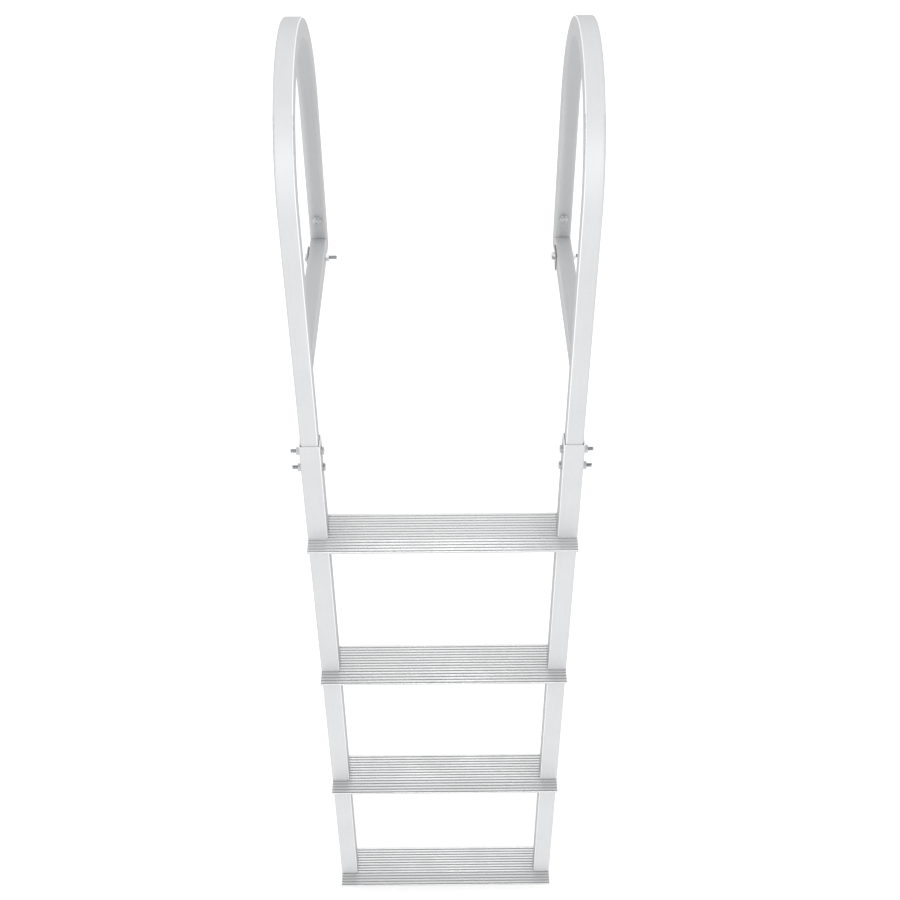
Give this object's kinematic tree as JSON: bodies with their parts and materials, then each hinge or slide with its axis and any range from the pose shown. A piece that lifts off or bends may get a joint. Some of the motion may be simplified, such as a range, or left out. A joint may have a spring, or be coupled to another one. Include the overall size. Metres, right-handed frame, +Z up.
{
  "type": "dock ladder",
  "caption": "Dock ladder of square aluminium tube: ribbed treads between side rails, hoop handrails bolted into the rail tops, and bars that lie on the deck",
  "frame": {"origin": "on the underside of the left deck bar, midway between the hoop's two legs", "axes": "+X to the right as seen from the water, +Y over the deck and away from the water, +Z up"},
  "size_m": [0.4369, 0.3877, 1.6652],
  "materials": {
    "satin_aluminium": "satin",
    "tread_aluminium": "satin ribbed",
    "stainless_steel": "bright"
  },
  "bodies": {
    "root": {"tread_1": "tread_aluminium", "tread_2": "tread_aluminium", "tread_3": "tread_aluminium", "tread_4": "tread_aluminium", "rail_left": "satin_aluminium", "hoop_left": "satin_aluminium", "deck_bar_left": "satin_aluminium", "corner_insert_left": "satin_aluminium", "corner_plate_left": "satin_aluminium", "seam_bolt_upper_left": "stainless_steel", "seam_nut_upper_left": "stainless_steel", "seam_bolt_lower_left": "stainless_steel", "seam_nut_lower_left": "stainless_steel", "cross_bolt_left": "stainless_steel", "cross_nut_left": "stainless_steel", "through_bolt_left": "stainless_steel", "through_nut_left": "stainless_steel", "rail_right": "satin_aluminium", "hoop_right": "satin_aluminium", "deck_bar_right": "satin_aluminium", "corner_insert_right": "satin_aluminium", "corner_plate_right": "satin_aluminium", "seam_bolt_upper_right": "stainless_steel", "seam_nut_upper_right": "stainless_steel", "seam_bolt_lower_right": "stainless_steel", "seam_nut_lower_right": "stainless_steel", "cross_bolt_right": "stainless_steel", "cross_nut_right": "stainless_steel", "through_bolt_right": "stainless_steel", "through_nut_right": "stainless_steel"}
  },
  "joints": []
}
